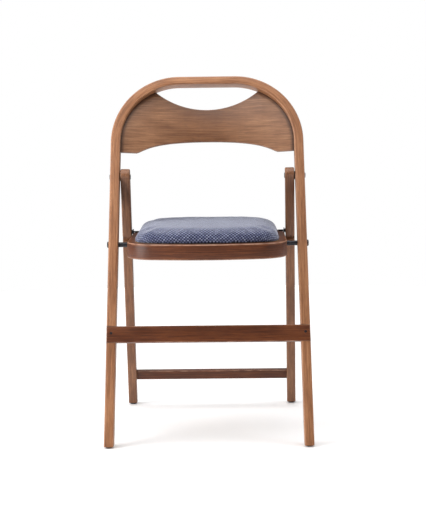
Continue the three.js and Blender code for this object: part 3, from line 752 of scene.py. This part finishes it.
def hoop_grain(point):
    x, s, n = on_frame(point)
    cx, cs, radius = OUTER_ARC
    side = 1 if x >= 0 else -1
    if s < cs:
        along = s - cs
        into = leg_edge(FOOT_HALF_WIDTH, s) - abs(x)
        width = BAR_WIDTH
    elif abs(x) > cx:
        angle = atan2(s - cs, abs(x) - cx)
        along = radius * angle
        into = radius - hypot(abs(x) - cx, s - cs)
        width = BAR_WIDTH + (TOP_BAR_WIDTH - BAR_WIDTH) * angle * 2 / pi
    else:
        along = radius * pi / 2 + cx - abs(x)
        into = FRAME_TOP - s
        width = TOP_BAR_WIDTH
    half_length = radius * pi / 2 + cx
    edge = edge_share(into, width, n + BAR_DEPTH / 2, BAR_DEPTH, BAR_ROUND)
    return (side * (half_length - along), into, n), edge


def build_hoop():
    rings = []
    stations = hoop_stations()
    for i, (inner, outer) in enumerate(stations):
        width = hypot(outer[0] - inner[0], outer[1] - inner[1])
        ring = []
        for u, v in rounded_section(width, BAR_DEPTH, BAR_ROUND):
            n = v - BAR_DEPTH / 2
            x = inner[0] + (outer[0] - inner[0]) * u / width
            s = inner[1] + (outer[1] - inner[1]) * u / width
            if i in (0, len(stations) - 1):
                s = (FLOOR_GAP + n * sin(LEAN)) / cos(LEAN)
            ring.append(leaning(x, s, n))
        rings.append(ring)
    hoop = loft("bent_frame", rings)
    lap = LAP_CLEARANCE
    reach = FOOT_HALF_WIDTH + 30 * MM  # well past the legs
    front = -BAR_DEPTH / 2
    cutters = [
        box_object(
            "lap", (-reach, STRETCHER_LOW - lap, front - 9 * MM),
            (reach, STRETCHER_HIGH + lap, front + STRETCHER_THICKNESS + lap), leaning,
        ),
        panel_object("groove", lap),
    ]
    cut_away(hoop, cutters)
    finish_wood(hoop, "front_frame", "stained_wood", hoop_grain, "bent_front_frame")


BOW_RADIUS = (PANEL_HALF_CHORD**2 + PANEL_BOW**2) / (2 * PANEL_BOW)
BOW_CENTRE = PANEL_SETBACK - BAR_DEPTH / 2 + PANEL_BOW - BOW_RADIUS
PANEL_ROUND = 2.2 * MM
PANEL_END = 195 * MM
PANEL_STEPS = 28  # from the middle to the tip of the hand hold
PANEL_END_STEPS = 16


def bezier(a, b, c, d, t):
    r = 1 - t
    return r**3 * a + 3 * r * r * t * b + 3 * r * t * t * c + t**3 * d


def panel_low(x):
    """The panel's lower edge: level at the ends, rising to the middle."""
    reach = abs(x)
    if reach >= PANEL_LOW_FLAT_FROM:
        return PANEL_LOW_END
    near, far = (share * PANEL_LOW_FLAT_FROM for share in PANEL_LOW_HANDLES)
    shoulder = PANEL_LOW_END + (PANEL_LOW_MIDDLE - PANEL_LOW_END) * PANEL_LOW_RISE
    low, high = 0.0, 1.0
    for _ in range(30):
        t = (low + high) / 2
        if bezier(0, near, far, PANEL_LOW_FLAT_FROM, t) < reach:
            low = t
        else:
            high = t
    return bezier(PANEL_LOW_MIDDLE, PANEL_LOW_MIDDLE, shoulder, PANEL_LOW_END, low)


def panel_high(x, clear):
    """The upper edge: a hollow arc between the tips, then the groove in the hoop."""
    cx, cs, radius = INNER_ARC
    radius += PANEL_HOUSING + clear
    if abs(x) >= PANEL_TIP_HALF:
        return cs + sqrt(max(0.0, radius**2 - (abs(x) - cx) ** 2))
    tip = cs + sqrt(radius**2 - (PANEL_TIP_HALF - cx) ** 2)
    dip = tip - PANEL_HIGH_MIDDLE
    dip_radius = (PANEL_TIP_HALF**2 + dip**2) / (2 * dip)
    return PANEL_HIGH_MIDDLE + clear + dip_radius - sqrt(dip_radius**2 - x**2)


def panel_object(name, clear=0.0):
    rings = []
    reach = asin((PANEL_END + clear) / BOW_RADIUS)
    tip = asin(PANEL_TIP_HALF / BOW_RADIUS)
    inner = [tip * i / PANEL_STEPS for i in range(PANEL_STEPS + 1)]
    outer = [
        tip + (reach - tip) * sin(i / PANEL_END_STEPS * pi / 2) for i in range(1, PANEL_END_STEPS + 1)
    ]
    half = inner + outer
    angles = [-a for a in reversed(half[1:])] + half
    for angle in angles:
        ring = []
        middle = BOW_RADIUS * sin(angle)
        low, high = panel_low(middle) - clear, panel_high(middle, clear)
        depth = PANEL_THICKNESS + 2 * clear
        for u, v in rounded_section(high - low, depth, PANEL_ROUND):
            radius = BOW_RADIUS - clear + v
            ring.append(leaning(radius * sin(angle), low + u, BOW_CENTRE + radius * cos(angle)))
        rings.append(ring)
    return loft(name, rings)


def panel_grain(point):
    x, s, n = on_frame(point)
    angle = atan2(x, n - BOW_CENTRE)
    into = hypot(x, n - BOW_CENTRE) - BOW_RADIUS
    low, high = panel_low(BOW_RADIUS * sin(angle)), panel_high(BOW_RADIUS * sin(angle), 0)
    edge = edge_share(s - low, high - low, into, PANEL_THICKNESS, PANEL_ROUND)
    return (BOW_RADIUS * angle, s, into), edge


def build_panel():
    board = panel_object("back_board")
    finish_wood(board, "front_frame", "stained_wood", panel_grain, "back_panel", "panel_wood")


def bar_outline(low, high, half_at):
    """The outline of a straight rail with slanted ends, and the ways out from it."""
    points = [
        (-half_at(low), low), (half_at(low), low), (half_at(high), high), (-half_at(high), high),
    ]
    diagonal = [(-1, -1), (1, -1), (1, 1), (-1, 1)]
    return list(zip(points, diagonal))


def build_front_stretcher():
    front = -BAR_DEPTH / 2
    outline = bar_outline(STRETCHER_LOW, STRETCHER_HIGH, lambda s: leg_edge(FOOT_HALF_WIDTH, s))
    rail = rounded_plate(
        "front_rail", outline, STRETCHER_THICKNESS, RAIL_ROUND,
        lambda x, s, d: leaning(x, s, front + d),
    )
    cutters = []
    for side in ("left", "right"):
        low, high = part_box(f"stretcher_screw_{side}")
        cutters.append(screw_pit(((low + high) / 2).x, STRETCHER_SCREW_S, front))
    cut_away(rail, cutters)

    def grain(point):
        x, s, n = on_frame(point)
        height = STRETCHER_HIGH - STRETCHER_LOW
        edge = edge_share(s - STRETCHER_LOW, height, n - front, STRETCHER_THICKNESS, RAIL_ROUND)
        return (x + FRONT_RAIL_GRAIN, s, n), edge

    finish_wood(rail, "front_frame", "dark_wood", grain, "front_stretcher")


PIT_PROFILE = ((3.1, -2), (3.1, 0.9), (2.0, 2.2), (2.0, 11))  # radius and depth, in mm


def screw_pit(x, s, front):
    """A cutter for a countersunk screw hole."""
    rings = []
    for radius, depth in PIT_PROFILE:
        ring = []
        for i in range(32):
            angle = i * pi / 16
            across, up = x + radius * MM * cos(angle), s + radius * MM * sin(angle)
            ring.append(leaning(across, up, front + depth * MM))
        rings.append(ring)
    return loft("pit", rings)


# ---------------------------------------------------------------- rear legs


def on_leg(x, y, z):
    return LEG_TURN @ Vector((x, y, z))


def seat_pivot_from_legs(share):
    """Where the seat pivot is, seen from the rear legs, at a share of the fold, as (y, z)."""
    turn = share * LEG_FOLD - REAR_LEAN
    y, z = SEAT_PIVOT.y - UPPER_PIVOT.y, SEAT_PIVOT.z - UPPER_PIVOT.z
    return y * cos(turn) - z * sin(turn), y * sin(turn) + z * cos(turn)


LEG_TOP_STEPS = 32


def rear_leg(side, name):
    half = REAR_DEPTH / 2
    end = (UPPER_PIVOT.z - FLOOR_GAP) / cos(REAR_LEAN)
    outline = []
    for i in range(LEG_TOP_STEPS + 1):
        angle = i * pi / LEG_TOP_STEPS
        way_out = (cos(angle), sin(angle))
        outline.append(((half * way_out[0], REAR_TOP_RISE + half * way_out[1]), way_out))
    for y, way_out in ((-half, (-1, 0)), (half, (1, 0))):
        outline.append(((y, -end - y * tan(REAR_LEAN)), way_out))
    middle = side * (REAR_OUTER_HALF - REAR_WIDTH / 2)
    splay = Matrix.Rotation(-side * REAR_SPLAY, 4, "Y")

    def place(y, z, depth):
        point = splay @ Vector((depth - REAR_WIDTH / 2, y, z))
        return on_leg(point.x + middle, point.y, point.z)

    leg = rounded_plate(f"rear_leg_bar_{name}", outline, REAR_WIDTH, REAR_ROUND, place)
    xs = sorted((side * (REAR_OUTER_HALF - 40 * MM), side * (REAR_OUTER_HALF + 20 * MM)))
    notch = [
        capsule(
            "notch", seat_pivot_from_legs(a), seat_pivot_from_legs(b),
            SPACER_RADIUS + NOTCH_CLEARANCE, *xs, on_leg,
        )
        for a, b in zip(NOTCH_SHARES, NOTCH_SHARES[1:])
    ]
    cut_away(leg, notch)
    turn_back = LEG_TURN.inverted()

    def grain(point):
        local = turn_back @ point
        local = splay.inverted() @ Vector((local.x - middle, local.y, local.z))
        into = local.x + REAR_WIDTH / 2
        edge = edge_share(local.y + half, REAR_DEPTH, into, REAR_WIDTH, REAR_ROUND)
        along, through = (shift * side for shift in REAR_LEG_GRAIN)
        return (local.z + along, local.y, local.x + through), edge

    # the rear legs get the darker copy of the frame's wood, a painted shade
    finish_wood(leg, "rear_legs", "stained_wood", grain, f"rear_leg_{name}", "rear_wood_painted_shade")


def build_rear_stretcher():
    low = -REAR_STRETCHER_DOWN - REAR_STRETCHER_HEIGHT / 2
    high = low + REAR_STRETCHER_HEIGHT
    outline = bar_outline(low, high, lambda z: rear_inner(-z) - 0.2 * MM)
    rail = rounded_plate(
        "rear_rail", outline, REAR_STRETCHER_DEPTH, RAIL_ROUND,
        lambda x, z, d: on_leg(x, d - REAR_STRETCHER_DEPTH / 2, z),
    )
    back = LEG_TURN.inverted()

    def grain(point):
        local = back @ point
        into = local.y + REAR_STRETCHER_DEPTH / 2
        edge = edge_share(
            local.z - low, REAR_STRETCHER_HEIGHT, into, REAR_STRETCHER_DEPTH, RAIL_ROUND
        )
        return (local.x + REAR_RAIL_GRAIN, local.z, local.y), edge

    finish_wood(rail, "rear_legs", "dark_wood", grain, "rear_stretcher")


# ---------------------------------------------------------------- seat ring

SEAT_HALF = RING_HIGH.x
SWEEP_Y = RING_LOW.y + SEAT_FRONT_RADIUS
FRONT_CORNER_X = SEAT_HALF - SEAT_FRONT_CORNER
FRONT_CORNER_Y = SWEEP_Y - sqrt((SEAT_FRONT_RADIUS - SEAT_FRONT_CORNER) ** 2 - FRONT_CORNER_X**2)
FRONT_ANGLE = atan2(FRONT_CORNER_Y - SWEEP_Y, FRONT_CORNER_X)
BACK_CORNER_X = SEAT_HALF - SEAT_BACK_CORNER
BACK_CORNER_Y = RING_HIGH.y - SEAT_BACK_CORNER
SAME_POINT = 0.01 * MM


def half_outline():
    """Right half of the seat in plan, from the front middle to the end of the back corner, as
    (centre x, centre y, radius, angle)."""
    stations = []
    arcs = [
        (0, SWEEP_Y, SEAT_FRONT_RADIUS, -pi / 2, FRONT_ANGLE, 10),
        (FRONT_CORNER_X, FRONT_CORNER_Y, SEAT_FRONT_CORNER, FRONT_ANGLE, 0, 22),
        (BACK_CORNER_X, BACK_CORNER_Y, SEAT_BACK_CORNER, 0, pi / 2, 28),
    ]
    for x, y, radius, start, end, steps in arcs:
        for i in range(steps + 1):
            stations.append((x, y, radius, start + (end - start) * i / steps))
    return stations


def outline_point(station, inset, back=0.0):
    x, y, radius, angle = station
    return x + (radius - inset) * cos(angle), y + back + (radius - inset) * sin(angle)


def full_outline(inset, back=0.0):
    """All round, starting at the front middle, with no point twice where two arcs meet."""
    half = [outline_point(station, inset, back) for station in half_outline()]
    kept = half[:1]
    for before, here in zip(half, half[1:]):
        if hypot(here[0] - before[0], here[1] - before[1]) > SAME_POINT:
            kept.append(here)
    return kept + [(-x, y) for x, y in reversed(kept[1:])]


def ring_grain(point):
    """Grain runs round the ring, the same way on both sides from the front middle."""
    x, y = abs(point.x), point.y
    quarter = SEAT_BACK_CORNER * pi / 2
    front_run = SEAT_FRONT_RADIUS * (FRONT_ANGLE + pi / 2)
    corner_run = SEAT_FRONT_CORNER * -FRONT_ANGLE
    side_run = BACK_CORNER_Y - FRONT_CORNER_Y
    if y < FRONT_CORNER_Y:
        sweep = atan2(y - SWEEP_Y, x)
        if sweep < FRONT_ANGLE:
            along = SEAT_FRONT_RADIUS * (sweep + pi / 2)
            into = SEAT_FRONT_RADIUS - hypot(x, y - SWEEP_Y)
        else:
            angle = atan2(y - FRONT_CORNER_Y, x - FRONT_CORNER_X)
            along = front_run + SEAT_FRONT_CORNER * (angle - FRONT_ANGLE)
            into = SEAT_FRONT_CORNER - hypot(x - FRONT_CORNER_X, y - FRONT_CORNER_Y)
    elif y < BACK_CORNER_Y:
        along = front_run + corner_run + y - FRONT_CORNER_Y
        into = SEAT_HALF - x
    elif x > BACK_CORNER_X:
        angle = atan2(y - BACK_CORNER_Y, x - BACK_CORNER_X)
        along = front_run + corner_run + side_run + SEAT_BACK_CORNER * angle
        into = SEAT_BACK_CORNER - hypot(x - BACK_CORNER_X, y - BACK_CORNER_Y)
    else:
        along = front_run + corner_run + side_run + quarter + BACK_CORNER_X - x
        into = RING_HIGH.y - y
    height = RING_HIGH.z - RING_LOW.z
    edge = edge_share(into, RING_WALL, point.z - RING_LOW.z, height, RING_ROUND)
    return (along + RING_GRAIN, point.z, into), edge


def pin_from_seat(share):
    """Where a rest pin is, seen from the level seat, at a share of the fold, as (y, z)."""
    lean = REAR_LEAN - share * LEG_FOLD
    y = PIN_DOWN * sin(lean) + UPPER_PIVOT.y - SEAT_PIVOT.y
    z = -PIN_DOWN * cos(lean) + UPPER_PIVOT.z - SEAT_PIVOT.z
    turn = -share * SEAT_FOLD
    return SEAT_PIVOT.y + y * cos(turn) - z * sin(turn), SEAT_PIVOT.z + y * sin(turn) + z * cos(turn)


def build_ring():
    height = RING_HIGH.z - RING_LOW.z
    section = rounded_section(RING_WALL, height, RING_ROUND)
    loops = [
        [Vector((x, y, RING_LOW.z + v)) for x, y in full_outline(RING_WALL - u)] for u, v in section
    ]
    ring = loft("ring", loops, joined=True)

    rest_y, _ = pin_from_seat(0)
    cutters = []
    for side in (-1, 1):
        xs = sorted((side * (HOOK_INNER_X - 0.2 * MM), side * (SEAT_HALF + 20 * MM)))
        cutters.append(box_object(
            "recess",
            (xs[0], rest_y - HOOK_POCKET_FRONT, RING_LOW.z - 0.05),
            (xs[1], rest_y + HOOK_POCKET_BACK, RING_HIGH.z + 0.05),
            in_row,
        ))
        shares = [PIN_ENTRY + (1 - PIN_ENTRY) * i / 5 for i in range(6)]
        xs = sorted((side * (HOOK_INNER_X - 0.3 * MM), side * (SEAT_HALF + 9 * MM)))
        for a, b in zip(shares, shares[1:]):
            cutters.append(capsule(
                "pocket", pin_from_seat(a), pin_from_seat(b), PIN_RADIUS + PIN_CLEARANCE, *xs, in_row,
            ))
    cut_away(ring, cutters)
    finish_wood(ring, "seat", "dark_wood", ring_grain, "seat_ring")


# ---------------------------------------------------------------- cushion

CUSHION_HEIGHT = CUSHION_HIGH.z - CUSHION_LOW.z
START_INSET = 0.4 * MM  # further in than the solid, because the pad swells
START_SHOULDER = 14 * MM
START_DROP = START_SHOULDER - 2 * MM
SHOULDER_STEPS = 8
START_HEADROOM = 5 * MM
START_LIFT = 3 * MM  # of the crown's middle
HEM_PROFILE = ((1.0, 0), (0.3, 1.2), (0, 5))  # inset and height of the lower edge, in mm
CROWN_SHARES = (0.9, 0.78, 0.64, 0.48, 0.3, 0.12)
VOXEL = 5 * MM
PRESSURE = 4.0
SIMULATED_STEPS = 20
CAP = 5 * MM
HELD_BELOW = 2.2 * MM
SMOOTHED_ABOVE = 5 * MM
SMOOTHING = 16
CROWN_RISE = 0.5 * MM  # above the solid
RIPPLE = 0.9 * MM
RIPPLES = 17  # per metre
RIPPLED_ABOVE = 4 * MM
WEAVE_SHOULDER = 16 * MM
WEAVE_CROWN = 2 * MM  # below the solid's top
EXTRA_ARC = 0.57  # how much longer a quarter circle is than its reach, in radii


def cushion_start():
    """A low crowned pad, a little smaller than the finished cushion."""
    inset = CUSHION_INSET + START_INSET
    base = CUSHION_LOW.z
    top = base + CUSHION_HEIGHT - START_HEADROOM
    profile = [(extra * MM, base + height * MM) for extra, height in HEM_PROFILE]
    for i in range(SHOULDER_STEPS + 1):
        angle = i / SHOULDER_STEPS * pi / 2
        profile.append((START_SHOULDER * (1 - cos(angle)), top - START_DROP * (1 - sin(angle))))
    loops = [
        [Vector((x, y, z)) for x, y in full_outline(inset + extra, CUSHION_SETBACK)]
        for extra, z in profile
    ]
    centre = Vector((0, (CUSHION_LOW.y + CUSHION_HIGH.y) / 2, 0))
    rim = loops[-1]
    for share in CROWN_SHARES:
        lift = START_LIFT * (1 - share**2)
        loops.append([Vector((
            centre.x + (p.x - centre.x) * share, centre.y + (p.y - centre.y) * share, p.z + lift,
        )) for p in rim])
    return loft("cushion", loops)


def inflate(obj):
    """Blows the closed mesh up as cloth, its underside held, and keeps each move within the cap."""
    rest = [v.co.copy() for v in obj.data.vertices]
    held = obj.vertex_groups.new(name="held")
    held.add([i for i, p in enumerate(rest) if p.z < CUSHION_LOW.z + HELD_BELOW], 1.0, "REPLACE")
    modifier = obj.modifiers.new("cloth", "CLOTH")
    settings = modifier.settings
    settings.quality = 6
    settings.mass = 0.3
    settings.tension_stiffness = settings.compression_stiffness = 12
    settings.bending_stiffness = 4
    settings.use_pressure = True
    settings.uniform_pressure_force = PRESSURE
    settings.effector_weights.gravity = 0
    settings.vertex_group_mass = held.name
    modifier.point_cache.frame_start = 1
    modifier.point_cache.frame_end = SIMULATED_STEPS
    scene = bpy.context.scene
    for step in range(1, SIMULATED_STEPS + 1):
        scene.frame_set(step)
    graph = bpy.context.evaluated_depsgraph_get()
    blown = [v.co.copy() for v in obj.evaluated_get(graph).data.vertices]
    obj.modifiers.remove(modifier)
    scene.frame_set(1)
    for vertex, start, end in zip(obj.data.vertices, rest, blown):
        move = end - start
        if move.length > CAP:
            move *= CAP / move.length
        vertex.co = start + move
    obj.vertex_groups.clear()


def fit_cushion(obj):
    """Scales the pad to its solid's height and gives its top and sides a slight unevenness."""
    start = max(v.co.z for v in obj.data.vertices)
    crown = CUSHION_HIGH.z + CROWN_RISE
    for vertex in obj.data.vertices:
        point = vertex.co
        rise = max(0.0, (point.z - CUSHION_LOW.z) / (start - CUSHION_LOW.z))
        point.z = CUSHION_LOW.z + rise * (crown - CUSHION_LOW.z)
        ripple = noise.noise(point * RIPPLES) * RIPPLE
        if point.z > CUSHION_LOW.z + RIPPLED_ABOVE:
            point += Vector((point.x, point.y, 0.02)).normalized() * ripple * 0.5
            point.z += ripple * 0.6


def outward(point):
    """Level direction out through the seat's outline."""
    x, y = abs(point.x), point.y
    if y < FRONT_CORNER_Y and atan2(y - SWEEP_Y, x) < FRONT_ANGLE:
        flat = Vector((x, y - SWEEP_Y))
    elif y < FRONT_CORNER_Y:
        flat = Vector((x - FRONT_CORNER_X, y - FRONT_CORNER_Y))
    elif y < BACK_CORNER_Y:
        flat = Vector((1, 0))
    elif x > BACK_CORNER_X:
        flat = Vector((x - BACK_CORNER_X, y - BACK_CORNER_Y))
    else:
        flat = Vector((0, 1))
    flat.normalize()
    return flat.x if point.x >= 0 else -flat.x, flat.y


def cushion_weave(obj):
    """Unrolls the cover: a point moves on outwards by about the length that it has dropped."""
    lowest = CUSHION_LOW.z
    shoulder = WEAVE_SHOULDER
    middle = (CUSHION_LOW.y + CUSHION_HIGH.y) / 2
    crown = CUSHION_HIGH.z - WEAVE_CROWN
    values = []
    for vertex in obj.data.vertices:
        point = vertex.co
        drop = max(0.0, crown - max(point.z, lowest))
        run = EXTRA_ARC * shoulder * min(1, drop / shoulder) ** 1.5 + max(0.0, drop - shoulder)
        out_x, out_y = outward(point)
        values.append((point.x + out_x * run, point.y - middle + out_y * run, 0.0))
    give(obj, "weave", values)


def build_cushion():
    pad = cushion_start()
    remesh = pad.modifiers.new("remesh", "REMESH")
    remesh.mode = "VOXEL"
    remesh.voxel_size = VOXEL
    apply_modifiers(pad)
    inflate(pad)
    upper = pad.vertex_groups.new(name="upper")
    edge = CUSHION_LOW.z + SMOOTHED_ABOVE
    upper.add([v.index for v in pad.data.vertices if v.co.z > edge], 1.0, "REPLACE")
    even = pad.modifiers.new("even", "SMOOTH")
    even.iterations = SMOOTHING
    even.factor = 0.5
    even.vertex_group = upper.name
    apply_modifiers(pad)
    pad.vertex_groups.clear()
    fit_cushion(pad)
    finer = pad.modifiers.new("finer", "SUBSURF")
    finer.levels = finer.render_levels = 1
    apply_modifiers(pad)
    cushion_weave(pad)
    smooth(pad, 80)
    pad.data.materials.clear()
    pad.data.materials.append(MATERIALS["seat_cloth"])
    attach(pad, "seat")
    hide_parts("seat_cushion")


# ---------------------------------------------------------------- hardware kept from the CAD

METAL_BEVEL = 0.3 * MM
WOOD_BEVEL = 0.6 * MM
HARDWARE = (  # words in the node's name, material, bevel; the first that fits counts
    (("upper_pivot_bolt",), "bright_steel", METAL_BEVEL),
    (("bolt", "nut", "spacer", "pin", "hook", "screw"), "black_steel", METAL_BEVEL),
    (("washer", "bush", "glide"), "black_nylon", METAL_BEVEL),
    (("base_panel",), "board", WOOD_BEVEL),
    (("cleat", "dowel"), "block", WOOD_BEVEL),
)


def dress(node, material, bevel):
    obj = frame["nodes"][node]
    obj.data.materials.clear()
    obj.data.materials.append(MATERIALS[material])
    smooth(obj)
    soften(obj, bevel)


def dress_hardware():
    for node in frame["nodes"]:
        for words, material, bevel in HARDWARE:
            if any(word in node for word in words):
                dress(node, material, bevel)
                break


# ---------------------------------------------------------------- the scene

make_camera()
make_studio()
MATERIALS = make_materials()
build_hoop()
build_panel()
build_front_stretcher()
for side_name, side_sign in (("left", -1), ("right", 1)):
    rear_leg(side_sign, side_name)
build_rear_stretcher()
build_ring()
build_cushion()
dress_hardware()
